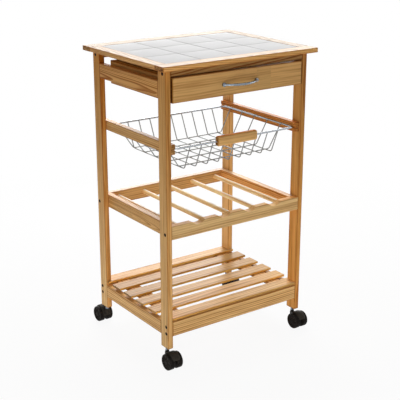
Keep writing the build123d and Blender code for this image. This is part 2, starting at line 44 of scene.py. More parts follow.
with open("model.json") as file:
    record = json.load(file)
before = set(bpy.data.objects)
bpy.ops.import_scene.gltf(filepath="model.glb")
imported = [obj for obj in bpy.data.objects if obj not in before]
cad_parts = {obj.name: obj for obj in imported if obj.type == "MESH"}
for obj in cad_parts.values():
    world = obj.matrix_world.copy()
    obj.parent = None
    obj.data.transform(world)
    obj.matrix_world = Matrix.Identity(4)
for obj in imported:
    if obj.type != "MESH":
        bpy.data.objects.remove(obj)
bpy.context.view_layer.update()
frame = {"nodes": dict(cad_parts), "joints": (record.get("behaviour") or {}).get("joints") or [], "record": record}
NODES = frame["nodes"]
JOINTS = {joint["name"]: joint for joint in frame["joints"]}

MM = 0.001
CORNERS = ("front_left", "front_right", "rear_left", "rear_right")

# Sockets of the Mix node when it mixes colours
MIX_A, MIX_B, MIX_RESULT = 6, 7, 2


def linear(hex_colour):
    """An sRGB colour such as #c89a5c as linear red, green and blue."""
    channels = [int(hex_colour[i:i + 2], 16) / 255 for i in (1, 3, 5)]
    return [c / 12.92 if c <= 0.04045 else ((c + 0.055) / 1.055) ** 2.4 for c in channels]


def colour_property(name, description, hex_colour):
    """A colour that the sidebar shows, with its default given in sRGB."""
    return FloatVectorProperty(name=name, description=description, subtype="COLOR", size=3,
                               min=0.0, max=1.0, default=linear(hex_colour))


class CartTimber(bpy.types.PropertyGroup):
    """Colours and grain of the boards."""
    pale: colour_property("Early wood", "Pale wood between the growth lines", "#e8b46e")
    line: colour_property("Late wood", "Dark growth lines", "#a05b18")
    rail_pale: colour_property("Rail early wood", "Pale wood of the basket rails", "#d0883f")
    rail_line: colour_property("Rail late wood", "Growth lines of the basket rails", "#84431a")
    panel: colour_property("Panel", "Thin boards under the tiles and in the drawer", "#c9a878")
    lacquer: FloatProperty(name="Lacquer roughness", description="How satin the clear lacquer is",
                           default=0.36, min=0.05, max=1.0)
    ring: FloatProperty(name="Ring spacing", description="Distance between two growth lines",
                        default=0.0055, min=0.001, max=0.03, unit="LENGTH")


class CartTiles(bpy.types.PropertyGroup):
    """Colours and edges of the worktop's tiles."""
    glaze: colour_property("Glaze", "Glaze of the tiles", "#dad9d9")
    grout: colour_property("Grout", "Cement grout between the tiles", "#9d9e9e")
    cushion: FloatProperty(name="Cushion edge", description="Width over which a tile's glaze rolls off",
                           default=0.002, min=0.0005, max=0.01, unit="LENGTH")
    drop: FloatProperty(name="Edge drop", description="How far the glaze falls at a tile's edge",
                        default=0.0005, min=0.0, max=0.003, unit="LENGTH")


class CartMetal(bpy.types.PropertyGroup):
    """Colours of the wire, handle, bolts and stems."""
    mesh_wire: colour_property("Mesh wire", "Plated thin wires of the basket", "#8e908f")
    rim_wire: colour_property("Rim wire", "Plated rim of the basket", "#b4bac0")
    handle: colour_property("Drawer handle", "Satin plated bow handle", "#858d95")
    bolt: colour_property("Bolts", "Blackened bolt heads", "#2c211a")
    stem: colour_property("Caster stems", "Zinc plated stems", "#8f98a3")


class CartCasters(bpy.types.PropertyGroup):
    """Moulded parts of the casters."""
    tread: colour_property("Tread", "Running face of the wheels", "#080707")
    cap: colour_property("Wheel side", "Side faces of the wheels", "#25211e")
    hood: colour_property("Hoods", "Moulded nylon of the housings", "#34302b")
    hub: FloatProperty(name="Hub radius", description="Radius of the cap over the axle",
                       default=0.0055, min=0.003, max=0.01, unit="LENGTH")
    dish: FloatProperty(name="Dish depth", description="How deep a wheel's side is dished",
                        default=0.0018, min=0.0, max=0.004, unit="LENGTH")
    crown: FloatProperty(name="Hood crown", description="How far the hood's edges curve down",
                         default=0.0016, min=0.0, max=0.004, unit="LENGTH")
    shoulder: FloatProperty(name="Shoulder", description="Rounding between a wheel's tread and its side",
                            default=0.0024, min=0.001, max=0.01, unit="LENGTH")


class CartStage(bpy.types.PropertyGroup):
    """Floor, lamps and camera."""
    floor: colour_property("Floor", "Pale seamless floor", "#e9e9e9")
    key_power: FloatProperty(name="Key power", description="Softbox behind the camera",
                             default=5.0, min=0.0, unit="POWER")
    bounce_power: FloatProperty(name="Bounce power", description="Bounce card on the floor in front",
                                default=6.0, min=0.0, unit="POWER")
    left_power: FloatProperty(name="Left power", description="Softbox on the left",
                              default=10.0, min=0.0, unit="POWER")
    right_power: FloatProperty(name="Right power", description="Softbox on the right",
                               default=17.0, min=0.0, unit="POWER")
    top_power: FloatProperty(name="Top power", description="Softbox over the cart and behind it",
                             default=64.0, min=0.0, unit="POWER")
    sheen_power: FloatProperty(name="Sheen power", description="Lit panel whose sheen lies on the tops",
                               default=42.0, min=0.0, unit="POWER")
    rear_power: FloatProperty(name="Rear power", description="Low softbox that reaches rack and shelf",
                              default=7.0, min=0.0, unit="POWER")
    world: FloatProperty(name="Surround", description="Light from the white studio around",
                         default=0.1, min=0.0)
    distance: FloatProperty(name="Camera distance", description="From the camera to the cart",
                            default=2.58, min=0.5, unit="LENGTH")
    lens: FloatProperty(name="Lens", description="Focal length in millimetres", default=86.7, min=10.0)


# Nodes and materials

def add(tree, kind, inputs=None, **settings):
    """Add a node, set what is given for it, and link those inputs that are other nodes' sockets."""
    new = tree.nodes.new(kind)
    for name, value in settings.items():
        setattr(new, name, value)
    for key, value in (inputs or {}).items():
        if isinstance(value, bpy.types.NodeSocket):
            tree.links.new(value, new.inputs[key])
        else:
            new.inputs[key].default_value = value
    return new


def new_material(name):
    """An empty node material with its output node and tree."""
    material = bpy.data.materials.new(name)
    material.use_nodes = True
    tree = material.node_tree
    tree.nodes.clear()
    output = add(tree, "ShaderNodeOutputMaterial")
    return material, tree, output


def opaque(colour):
    """A linear colour with full alpha, as sockets want it."""
    return (*colour, 1.0)


def seen_or_mirrored(tree):
    """1 for rays from the camera, from gloss and through glass, and 0 for all others."""
    path = add(tree, "ShaderNodeLightPath")
    glossy = add(tree, "ShaderNodeMath", {0: path.outputs["Is Camera Ray"],
                                          1: path.outputs["Is Glossy Ray"]}, operation="MAXIMUM")
    seen = add(tree, "ShaderNodeMath", {0: glossy.outputs[0], 1: path.outputs["Is Transmission Ray"]},
               operation="MAXIMUM")
    return seen.outputs[0]


def dress(node, material):
    """Give a CAD node's object one material in its own slots."""
    target = NODES[node]
    if not target.material_slots:
        target.data.materials.append(material)
    for slot in target.material_slots:
        slot.material = material


def box_middle(node):
    """Middle and size of a CAD node's box."""
    low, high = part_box(node)
    return (low + high) / 2, high - low


# Turns that lay a board's length on the texture's X, for a board along X, Y or Z
GRAIN_TURNS = (Euler((0, 0, 0)), Euler((0, 0, -math.pi / 2)), Euler((0, math.pi / 2, 0)))
PER_MM = (1000.0, 1000.0, 1000.0)
# Sizes of the pattern in millimetres: along the grain, and across it. Real fibres are a tenth as wide,
# too fine to show, so they are drawn coarser
WANDER_SIZE = (260, 55, 55)
STREAK_SIZE = (320, 8, 8)
FIBRE_SIZE = (70, 2.6, 2.6)
# How far the rings stray from round, in mm
WANDER_REACH = 11
# How far the grain jumps across the board, in mm, where one block of a finger-jointed board ends
BLOCK_SHIFT = (0, 17, 11)
# Patches of end grain that soak up more lacquer than the wood between them, in mm, and the share of the
# growth lines' colour that they keep
PORE_SIZE = 6
SOAKED_SHARE = 0.3
# How far the darker edges, of lacquer and painted shade, reach from an edge, in mm
EDGE_WIDTH = 3.2
# How far the log's heart may lie off its place, and how far along the log a board may be cut, in mm
HEART_SPREAD = 6
LOG_REACH = 4000
# Share by which a board may be darker or paler than its tone says
TONE_SPREAD = 0.03
# How green and blue rise in a blond board, and fall in an amber one
BLOND = (0.0, 0.1, 0.3)
# Pale colour of the sheen painted on top faces
PAINTED_SHEEN_COLOUR = "#cac4b6"
# Clear lacquer that has yellowed a little
LACQUER_TINT = "#fff0cc"


def sizes_to_scale(sizes):
    """Scale of a noise whose grain has these sizes in millimetres."""
    return tuple(1.0 / size for size in sizes)


def unit(axis):
    """The direction of one axis: 0 for X, 1 for Y and 2 for Z."""
    return Vector([1.0 if index == axis else 0.0 for index in range(3)])


def share_facing(tree, normal, axis, most=1.0):
    """Up to most on the faces that are square to an axis, on both sides, and 0 on the others."""
    facing = add(tree, "ShaderNodeVectorMath", {0: normal, 1: unit(axis)}, operation="DOT_PRODUCT")
    either_side = add(tree, "ShaderNodeMath", {0: facing.outputs["Value"]}, operation="ABSOLUTE")
    share = add(tree, "ShaderNodeMapRange", {"Value": either_side.outputs[0], "From Min": 0.7,
                                             "From Max": 0.98, "To Max": most})
    return share.outputs[0]


def finger_joints(tree, grain, length, blocks):
    """A finger-jointed board changes its grain and tone from block to block."""
    tone, tone_before = 1.0, 1.0
    for start, block_tone in blocks:
        past = add(tree, "ShaderNodeMath", {0: length, 1: start * MM}, operation="GREATER_THAN")
        shift = add(tree, "ShaderNodeVectorMath", {0: BLOCK_SHIFT, "Scale": past.outputs[0]},
                    operation="SCALE")
        shifted = add(tree, "ShaderNodeVectorMath", {0: grain, 1: shift.outputs[0]}, operation="ADD")
        grain = shifted.outputs[0]
        change = add(tree, "ShaderNodeMapRange", {"Value": past.outputs[0], "To Min": 1.0,
                                                  "To Max": block_tone / tone_before})
        toned = add(tree, "ShaderNodeMath", {0: tone, 1: change.outputs[0]}, operation="MULTIPLY")
        tone, tone_before = toned.outputs[0], block_tone
    return grain, tone


def growth_lines(tree, grain, heart, lean, spacing, stray):
    """How deep in the dark late wood of its ring a point lies, from 0 to 1: rings round the log's heart
    that stray from round and lean, each with a darkness of its own."""
    # The rings lean about the board's middle, so the heart's own place along the grain comes out first
    level = add(tree, "ShaderNodeVectorMath", {0: grain, 1: heart}, operation="SUBTRACT")
    leaning = add(tree, "ShaderNodeMapping", {"Vector": level.outputs[0], "Rotation": lean})
    wander_at = add(tree, "ShaderNodeVectorMath", {0: grain, 1: sizes_to_scale(WANDER_SIZE)},
                    operation="MULTIPLY")
    wander = add(tree, "ShaderNodeTexNoise", {"Vector": wander_at.outputs[0], "Scale": 1.0, "Detail": 2.0})
    centred = add(tree, "ShaderNodeVectorMath", {0: wander.outputs["Color"], 1: (0.5, 0.5, 0.5)},
                  operation="SUBTRACT")
    strayed = add(tree, "ShaderNodeVectorMath", {0: centred.outputs[0], 1: (0, stray, stray),
                                                 2: leaning.outputs[0]}, operation="MULTIPLY_ADD")
    across = add(tree, "ShaderNodeVectorMath", {0: strayed.outputs[0], 1: (0, 1, 1)}, operation="MULTIPLY")
    radius = add(tree, "ShaderNodeVectorMath", {0: across.outputs[0]}, operation="LENGTH")
    count = add(tree, "ShaderNodeMath", {0: radius.outputs["Value"], 1: 1 / spacing}, operation="MULTIPLY")
    phase = add(tree, "ShaderNodeMath", {0: count.outputs[0]}, operation="FRACT")
    number = add(tree, "ShaderNodeMath", {0: count.outputs[0]}, operation="FLOOR")
    drawn = add(tree, "ShaderNodeTexWhiteNoise", {"W": number.outputs[0]}, noise_dimensions="1D")
    ring_depth = add(tree, "ShaderNodeMapRange", {"Value": drawn.outputs["Value"], "To Min": 0.35,
                                                 "To Max": 1.0})
    late = add(tree, "ShaderNodeMapRange", {"Value": phase.outputs[0], "From Min": 0.25, "From Max": 0.9},
               interpolation_type="SMOOTHSTEP")
    late_depth = add(tree, "ShaderNodeMath", {0: late.outputs[0], 1: ring_depth.outputs[0]},
                     operation="MULTIPLY")
    return late_depth.outputs[0]


def marks_along(tree, grain, sizes, low, high):
    """Marks of these sizes in millimetres, drawn out along the grain, from low to high."""
    marks_at = add(tree, "ShaderNodeVectorMath", {0: grain, 1: sizes_to_scale(sizes)}, operation="MULTIPLY")
    marks = add(tree, "ShaderNodeTexNoise", {"Vector": marks_at.outputs[0], "Scale": 1.0, "Detail": 3.0})
    level = add(tree, "ShaderNodeMapRange", {
        "Value": marks.outputs["Fac"], "From Min": 0.3, "From Max": 0.7, "To Min": low, "To Max": high})
    return level.outputs[0]


def soaked_ends(tree, place, timber, line, along, look):
    """End grain drinks more lacquer and looks darker."""
    end_share = share_facing(tree, place.outputs["Normal"], along, look["end"])
    pores = add(tree, "ShaderNodeTexNoise", {"Vector": place.outputs["Object"], "Scale": 1 / (PORE_SIZE * MM),
                                             "Detail": 2.0})
    pore_share = add(tree, "ShaderNodeMapRange", {"Value": pores.outputs["Fac"], "From Min": 0.35,
                                                  "From Max": 0.6, "To Min": look["soaked"]})
    soaked = add(tree, "ShaderNodeMath", {0: end_share, 1: pore_share.outputs[0]}, operation="MULTIPLY")
    ends = add(tree, "ShaderNodeMix", {0: soaked.outputs[0], MIX_A: timber,
                                       MIX_B: opaque([c * SOAKED_SHARE for c in line])}, data_type="RGBA")
    return ends.outputs[MIX_RESULT]


def painted_top_sheen(tree, normal, timber, most):
    """A sheen painted on top faces: a pale colour that stands for the lacquer's sheen under a low light."""
    upward = add(tree, "ShaderNodeSeparateXYZ", {0: normal})
    share = add(tree, "ShaderNodeMapRange", {"Value": upward.outputs[2], "From Min": 0.8, "From Max": 0.99,
                                             "To Max": most})
    painted_sheen = add(tree, "ShaderNodeMix", {0: share.outputs[0], MIX_A: timber,
                                           MIX_B: opaque(linear(PAINTED_SHEEN_COLOUR))}, data_type="RGBA")
    return painted_sheen.outputs[MIX_RESULT]


def eased_edges(tree, offset, size, timber, line, most):
    """Darker edges, partly lacquer that gathers on eased edges and partly painted shade where an edge turns from
    the light: a point near two faces of the board at once lies on an edge.
    """
    mirrored = add(tree, "ShaderNodeVectorMath", {0: offset}, operation="ABSOLUTE")
    inward = add(tree, "ShaderNodeVectorMath", {0: size / 2, 1: mirrored.outputs[0]}, operation="SUBTRACT")
    depths = add(tree, "ShaderNodeSeparateXYZ", {0: inward.outputs[0]})
    near_faces = 0.0
    for depth in depths.outputs:
        near = add(tree, "ShaderNodeMapRange", {"Value": depth, "From Max": EDGE_WIDTH * MM,
                                                "To Min": 1.0, "To Max": 0.0},
                   interpolation_type="SMOOTHSTEP")
        total = add(tree, "ShaderNodeMath", {0: near_faces, 1: near.outputs[0]}, operation="ADD")
        near_faces = total.outputs[0]
    share = add(tree, "ShaderNodeMapRange", {"Value": near_faces, "From Min": 1.05, "From Max": 1.6,
                                             "To Max": most})
    edged = add(tree, "ShaderNodeMix", {0: share.outputs[0], MIX_A: timber, MIX_B: opaque(line)},
                data_type="RGBA")
    return edged.outputs[MIX_RESULT]


def own_tone(tree, timber, length, reach, tone, block_tone, look):
    """Board to board the wood differs in tone, and along a board light and shade are painted: one end brighter and
    paler, the other darker, as the light falls.
    """
    first_tone, last_tone = (
        [tone * (1 + way * look["light_fade"]) * (1 + rise * (look["blond"] + way * look["blond_light_fade"]))
         for rise in BLOND]
        for way in (1, -1))
    length_thrice = add(tree, "ShaderNodeCombineXYZ", {channel: length for channel in range(3)})
    light_fading = add(tree, "ShaderNodeMapRange", {
        "Vector": length_thrice.outputs[0], "From Min": (-reach,) * 3, "From Max": (reach,) * 3,
        "To Min": first_tone, "To Max": last_tone}, data_type="FLOAT_VECTOR")
    shade = add(tree, "ShaderNodeVectorMath", {0: light_fading.outputs["Vector"], "Scale": block_tone},
                operation="SCALE")
    toned = add(tree, "ShaderNodeMix", {0: 1.0, MIX_A: timber, MIX_B: shade.outputs[0]},
                data_type="RGBA", blend_type="MULTIPLY")
    return toned.outputs[MIX_RESULT]


def lacquered_pine(node, pale, line, ring, lacquer, look):
    """Sawn and planed pine under clear satin lacquer: growth lines that run along the board and bend
    where it was cut across the rings, broad warm streaks, fine fibres, and darker end grain. The
    lacquer gives a soft sheen that turns pale at a low angle."""
    middle, size = box_middle(node)
    along = look["grain"]
    if along is None:
        along = max(range(3), key=lambda axis: size[axis])
    flat, wide = sorted((axis for axis in range(3) if axis != along), key=lambda axis: size[axis])
    dice = random.Random(node)
    heart = Vector((0, 0, 0))
    heart[flat] = look["depth"] * dice.choice((-1, 1))
    heart[wide] = look["side"] + dice.uniform(-HEART_SPREAD, HEART_SPREAD)
    heart[along] = dice.uniform(-LOG_REACH, LOG_REACH)
    tilt = math.radians(look["tilt"]) * dice.choice((-1, 1))
    tone = look["tone"] * (1.0 + dice.uniform(-TONE_SPREAD, TONE_SPREAD))
    turn = GRAIN_TURNS[along].to_matrix()
    lean = (0, tilt, 0) if abs((turn @ unit(flat)).z) > 0.5 else (0, 0, tilt)

    material, tree, output = new_material(f"lacquered_pine_{node}")
    place = add(tree, "ShaderNodeTexCoord")
    offset = add(tree, "ShaderNodeVectorMath", {0: place.outputs["Object"], 1: middle},
                 operation="SUBTRACT")
    lengths = add(tree, "ShaderNodeSeparateXYZ", {0: offset.outputs[0]})
    length = lengths.outputs[along]
    plain_grain = add(tree, "ShaderNodeMapping", {
        "Vector": place.outputs["Object"], "Rotation": GRAIN_TURNS[along], "Scale": PER_MM,
        "Location": turn @ (heart - middle / MM)})
    grain, block_tone = finger_joints(tree, plain_grain.outputs[0], length, look["blocks"])
    late = growth_lines(tree, grain, turn @ (unit(along) * heart[along]), lean, ring / MM * look["ring"],
                        WANDER_REACH * look["wander"])
    broad = add(tree, "ShaderNodeMath", {0: late, 1: look["contrast"],
                                         2: marks_along(tree, grain, STREAK_SIZE, -0.25, 0.35)},
                operation="MULTIPLY_ADD")
    darkness = add(tree, "ShaderNodeMath", {0: broad.outputs[0],
                                            1: marks_along(tree, grain, FIBRE_SIZE, -0.17, 0.17)},
                   operation="ADD", use_clamp=True)
    plain = add(tree, "ShaderNodeMix", {0: darkness.outputs[0], MIX_A: opaque(pale), MIX_B: opaque(line)},
                data_type="RGBA")
    timber = soaked_ends(tree, place, plain.outputs[MIX_RESULT], line, along, look)
    # A pale sheen painted on the top faces
    timber = painted_top_sheen(tree, place.outputs["Normal"], timber, look["painted_sheen"])
    timber = eased_edges(tree, offset.outputs[0], size, timber, line, look["edge"])
    timber = own_tone(tree, timber, length, size[along] / 2, tone, block_tone, look)
    # The narrow faces get painted light and shade, brighter or darker than the wide faces as the light falls on
    # them
    narrow_share = share_facing(tree, place.outputs["Normal"], wide)
    narrow_lit_and_shaded = add(tree, "ShaderNodeMix", {0: narrow_share, MIX_A: timber, MIX_B: opaque(look["narrow"])},
                 data_type="RGBA", blend_type="MULTIPLY")

    rough = add(tree, "ShaderNodeMapRange", {"Value": darkness.outputs[0], "To Min": lacquer - 0.04,
                                             "To Max": lacquer + 0.1})
    bump = add(tree, "ShaderNodeBump", {"Height": darkness.outputs[0], "Strength": 0.12,
                                        "Distance": 0.0004})
    shader = add(tree, "ShaderNodeBsdfPrincipled", {
        "Base Color": narrow_lit_and_shaded.outputs[MIX_RESULT], "Roughness": rough.outputs[0],
        "Normal": bump.outputs["Normal"], "IOR": 1.5, "Specular IOR Level": 0.1 * look["gloss"],
        "Specular Tint": opaque(linear(LACQUER_TINT))})
    tree.links.new(shader.outputs[0], output.inputs["Surface"])
    return material


# How a board was sawn and how strongly it shows.
# depth, side: distance of the log's heart behind the board's face and beside it, in mm
# tilt: how far the rings lean, in degrees
# ring, wander, contrast: how wide, how wavy and how dark the growth lines are
# tone, blond: how bright and how little amber the board is; the two fades paint light and shade on them from end
# to end
# painted sheen, end, soaked, edge: how much pale sheen is painted on its top faces, how dark its end grain, pores
# and edges are
# blocks: where a finger-jointed block starts, in mm from the middle, and its tone
# gloss: the lacquer's sheen; grain: the grain's axis, if it isn't the longest; narrow: light and shade painted on
# the narrow faces
COMMON_LOOK = {"depth": 45, "side": 30, "tilt": 1.2, "ring": 1.0, "wander": 1.0, "contrast": 0.75,
               "tone": 1.0, "blond": 0.0, "light_fade": 0.0, "blond_light_fade": 0.0, "painted_sheen": 0.0, "blocks": (),
               "end": 0.6, "soaked": 0.45, "edge": 0.6, "gloss": 1.0, "grain": None,
               "narrow": (1.0, 1.0, 1.0)}
STRAIGHT = {"depth": 20, "side": 90, "tilt": 0.4}
ARCHED = {"depth": 12, "side": 6, "tilt": 1.1, "ring": 0.5, "wander": 0.9, "contrast": 1.05}
LEG = {**STRAIGHT, "ring": 0.8, "contrast": 0.6, "narrow": (1.0, 0.93, 0.84)}
SLAT = {"contrast": 0.45, "blond": 1.0, "blond_light_fade": -0.5, "edge": 0.1, "end": 0.4, "gloss": 0.85,
        "narrow": (1.6, 1.6, 1.0)}
BORDER = {"side": 10, "tilt": 3.0, "ring": 0.7, "contrast": 1.0, "painted_sheen": 0.6}
LOOKS = {
    "worktop_rail_front": {**BORDER, "tilt": 6.0, "tone": 1.3, "end": 1.0, "contrast": 1.0, "painted_sheen": 0.5},
    "worktop_rail_left": {**BORDER, "tone": 1.08, "blond": 0.5, "painted_sheen": 0.4},
    "worktop_rail_right": BORDER,
    "worktop_rail_rear": BORDER,
    "upper_side_rail_left": {**ARCHED, "tone": 0.92, "blond": -0.5},
    "upper_side_rail_right": ARCHED,
    # The apron's low tone is painted shade under the worktop's overhang
    "apron_front": {"depth": 30, "side": 20, "tilt": 5.0, "ring": 1.3, "contrast": 1.2, "tone": 0.46},
    # The drawer front's fully dark end grain is painted shade of the narrow gap beside the legs
    "drawer_front": {"depth": 30, "side": 60, "tilt": 1.5, "wander": 0.9, "contrast": 0.28, "tone": 0.94,
                     "blond": 0.4, "blocks": ((52, 0.93), (97, 1.05)), "end": 1.0, "soaked": 0.9},
    # The drawer sides' dark edges are painted shade under the worktop
    "drawer_side_left": {**STRAIGHT, "tone": 0.86, "edge": 1.0, "gloss": 0.0},
    "drawer_side_right": {**STRAIGHT, "tone": 0.9, "edge": 1.0, "gloss": 0.0},
    "drawer_back": {**STRAIGHT, "tone": 0.9, "gloss": 0.0},
    "shelf_rail_front": {**STRAIGHT, "contrast": 0.75, "tone": 1.3, "blond": 1.4, "light_fade": -0.12},
    "shelf_side_left": {**STRAIGHT, "contrast": 0.7, "tone": 1.24, "blond": 1.1, "light_fade": -0.1},
    "basket_rail_left": {**STRAIGHT, "contrast": 0.5, "tone": 0.95, "blond": 0.5},
    "basket_rail_right": {**STRAIGHT, "tone": 1.2, "end": 0.2},
    "rack_side_left": {"depth": 14, "side": 5, "tilt": 3.5, "ring": 0.5, "contrast": 0.8, "tone": 1.03,
                       "blond": 0.5, "edge": 0.3},
    "rack_side_right": {**STRAIGHT, "tone": 1.48, "blond": 0.6, "painted_sheen": 0.3},
    "rack_rail_front": {**STRAIGHT, "contrast": 0.4, "tone": 1.12, "blond": 1.9, "light_fade": -0.13,
                        "edge": 0.1, "gloss": 0.4, "narrow": (1.35, 1.25, 1.05)},
    "rack_rail_rear": {**STRAIGHT, "contrast": 0.5, "tone": 1.17, "blond": 0.9, "painted_sheen": 0.4},
    "rack_dowels": {**STRAIGHT, "grain": 1, "contrast": 0.3, "tone": 1.57, "blond": 3.4, "painted_sheen": 0.4,
                    "end": 0.0, "edge": 0.0},
    # The legs' fades paint them darker up under the worktop and brighter and paler low down, where the floor's
    # light reaches
    "leg_front_left": {**LEG, "tone": 0.91, "light_fade": 0.19, "blond": 0.3, "blond_light_fade": 1.3},
    "leg_front_right": {**LEG, "tone": 1.0, "light_fade": 0.27, "blond": -0.8, "narrow": (1.0, 0.89, 0.77)},
    "leg_rear_left": {**LEG, "tone": 1.03, "light_fade": 0.34, "blond": -0.4, "blond_light_fade": 2.2,
                      "narrow": (0.85, 0.72, 0.56)},
    "leg_rear_right": {**LEG, "contrast": 0.3, "tone": 1.22, "blond": 0.8, "light_fade": 0.05,
                       "narrow": (1.0, 0.96, 0.9)},
    "shelf_slat_1": {**SLAT, "tone": 1.19, "blond": 1.3, "blond_light_fade": -0.8, "narrow": (0.9, 0.8, 0.5)},
    "shelf_slat_2": {**SLAT, "tone": 1.09, "blond": 0.8},
    "shelf_slat_3": {**SLAT, "tone": 0.89},
    "shelf_slat_4": {**SLAT, "tone": 0.74, "light_fade": -0.08, "blond": 0.5},
    "shelf_slat_5": {**SLAT, "tone": 0.69, "blond": 0.0},
    "shelf_slat_6": {**SLAT, "tone": 0.92, "blond": 0.6},
    "basket_handle": {"contrast": 0.5, "tone": 1.09, "blond": 0.7, "edge": 0.5, "end": 0.9, "gloss": 0.2,
                      "narrow": (1.7, 1.17, 0.6)},
}
# Boards of a redder wood than the rest
REDDER_BOARDS = ("basket_rail_right",)


def board_look(node):
    """How one board was sawn: its own entry over the common one."""
    return {**COMMON_LOOK, **LOOKS.get(node, {})}


def glazed_stoneware(glaze):
    """Gloss-fired tile: smooth clear glaze over a pale body, with a faint ripple that bends highlights."""
    material, tree, output = new_material("glazed_stoneware")
    place = add(tree, "ShaderNodeTexCoord")
    ripple = add(tree, "ShaderNodeTexNoise", {"Vector": place.outputs["Object"], "Scale": 1 / (30 * MM),
                                              "Detail": 1.0})
    cloud = add(tree, "ShaderNodeTexNoise", {"Vector": place.outputs["Object"], "Scale": 1 / (60 * MM),
                                             "Detail": 2.0})
    shade = add(tree, "ShaderNodeMix", {0: cloud.outputs["Fac"], MIX_A: opaque(glaze),
                                        MIX_B: opaque([c * 0.95 for c in glaze])}, data_type="RGBA")
    bump = add(tree, "ShaderNodeBump", {"Height": ripple.outputs["Fac"], "Strength": 0.05,
                                        "Distance": 0.0003})
    shader = add(tree, "ShaderNodeBsdfPrincipled", {
        "Base Color": shade.outputs[MIX_RESULT], "Roughness": 0.45, "IOR": 1.5, "Specular IOR Level": 0.05,
        "Normal": bump.outputs["Normal"]})
    tree.links.new(shader.outputs[0], output.inputs["Surface"])
    return material


def cement_grout(colour):
    """Sponged cement grout: matt, slightly sandy, a little uneven in tone."""
    material, tree, output = new_material("cement_grout")
    place = add(tree, "ShaderNodeTexCoord")
    sand = add(tree, "ShaderNodeTexNoise", {"Vector": place.outputs["Object"], "Scale": 1 / (0.8 * MM),
                                            "Detail": 3.0})
    patch = add(tree, "ShaderNodeTexNoise", {"Vector": place.outputs["Object"], "Scale": 1 / (25 * MM)})
    shade = add(tree, "ShaderNodeMix", {0: patch.outputs["Fac"], MIX_A: opaque(colour),
                                        MIX_B: opaque([c * 0.8 for c in colour])}, data_type="RGBA")
    bump = add(tree, "ShaderNodeBump", {"Height": sand.outputs["Fac"], "Strength": 0.5,
                                        "Distance": 0.0003})
    shader = add(tree, "ShaderNodeBsdfPrincipled", {
        "Base Color": shade.outputs[MIX_RESULT], "Roughness": 0.9, "Normal": bump.outputs["Normal"]})
    tree.links.new(shader.outputs[0], output.inputs["Surface"])
    return material


def pressed_board(colour):
    """Thin pressed board: fine flecks of fibre, flat and matt."""
    material, tree, output = new_material("pressed_board")
    place = add(tree, "ShaderNodeTexCoord")
    fleck = add(tree, "ShaderNodeTexNoise", {"Vector": place.outputs["Object"], "Scale": 1 / (3 * MM),
                                             "Detail": 4.0})
    shade = add(tree, "ShaderNodeMix", {0: fleck.outputs["Fac"], MIX_A: opaque(colour),
                                        MIX_B: opaque([c * 0.75 for c in colour])}, data_type="RGBA")
    shader = add(tree, "ShaderNodeBsdfPrincipled", {
        "Base Color": shade.outputs[MIX_RESULT], "Roughness": 0.7})
    tree.links.new(shader.outputs[0], output.inputs["Surface"])
    return material


def plated_metal(name, colour, roughness, mottle_mm, drawn_mm):
    """Drawn steel with a bright plating: metal that mirrors its surroundings softly, with faint drawn
    lines and a cloudy roughness where it was handled."""
    material, tree, output = new_material(name)
    place = add(tree, "ShaderNodeTexCoord")
    cloud = add(tree, "ShaderNodeTexNoise", {"Vector": place.outputs["Object"],
                                             "Scale": 1 / (mottle_mm * MM), "Detail": 3.0})
    drawn = add(tree, "ShaderNodeTexNoise", {"Vector": place.outputs["Object"],
                                             "Scale": 1 / (drawn_mm * MM), "Detail": 2.0})
    rough = add(tree, "ShaderNodeMapRange", {"Value": cloud.outputs["Fac"], "From Min": 0.3,
                                             "From Max": 0.7, "To Min": roughness - 0.05,
                                             "To Max": roughness + 0.08})
    shade = add(tree, "ShaderNodeMix", {0: cloud.outputs["Fac"], MIX_A: opaque(colour),
                                        MIX_B: opaque([c * 0.82 for c in colour])}, data_type="RGBA")
    bump = add(tree, "ShaderNodeBump", {"Height": drawn.outputs["Fac"], "Strength": 0.1,
                                        "Distance": 0.0002})
    shader = add(tree, "ShaderNodeBsdfPrincipled", {
        "Base Color": shade.outputs[MIX_RESULT], "Metallic": 1.0, "Roughness": rough.outputs[0],
        "Normal": bump.outputs["Normal"]})
    tree.links.new(shader.outputs[0], output.inputs["Surface"])
    return material


def moulded_nylon(name, colour, side_colour):
    """Injection-moulded black nylon: fine spark-eroded texture and a dull sheen with lighter wear.
    The texture scatters the surface's reflection, so its specular level is low."""
    material, tree, output = new_material(name)
    place = add(tree, "ShaderNodeTexCoord")
    spark = add(tree, "ShaderNodeTexNoise", {"Vector": place.outputs["Object"], "Scale": 1 / (0.7 * MM),
                                             "Detail": 2.0})
    rubbed = add(tree, "ShaderNodeTexNoise", {"Vector": place.outputs["Object"], "Scale": 1 / (9 * MM),
                                              "Detail": 3.0})
    normal = add(tree, "ShaderNodeSeparateXYZ", {0: place.outputs["Normal"]})
    sideways = add(tree, "ShaderNodeMath", {0: normal.outputs[0]}, operation="ABSOLUTE")
    side_share = add(tree, "ShaderNodeMapRange", {"Value": sideways.outputs[0], "From Min": 0.5,
                                                  "From Max": 0.95})
    moulded = add(tree, "ShaderNodeMix", {0: side_share.outputs[0], MIX_A: opaque(colour),
                                          MIX_B: opaque(side_colour)}, data_type="RGBA")
    shade = add(tree, "ShaderNodeMix", {0: rubbed.outputs["Fac"], MIX_A: moulded.outputs[MIX_RESULT],
                                        MIX_B: opaque([c * 1.4 + 0.004 for c in side_colour])},
                data_type="RGBA")
    rough = add(tree, "ShaderNodeMapRange", {"Value": rubbed.outputs["Fac"], "From Min": 0.3,
                                             "From Max": 0.7, "To Min": 0.3, "To Max": 0.46})
    bump = add(tree, "ShaderNodeBump", {"Height": spark.outputs["Fac"], "Strength": 0.2,
                                        "Distance": 0.0002})
    shader = add(tree, "ShaderNodeBsdfPrincipled", {
        "Base Color": shade.outputs[MIX_RESULT], "Roughness": rough.outputs[0], "IOR": 1.53,
        "Specular IOR Level": 0.03, "Normal": bump.outputs["Normal"]})
    tree.links.new(shader.outputs[0], output.inputs["Surface"])
    return material


# Meshes

# Faces that meet at a larger angle than this, in degrees, keep a sharp edge between them
SHARP_ANGLE = 40


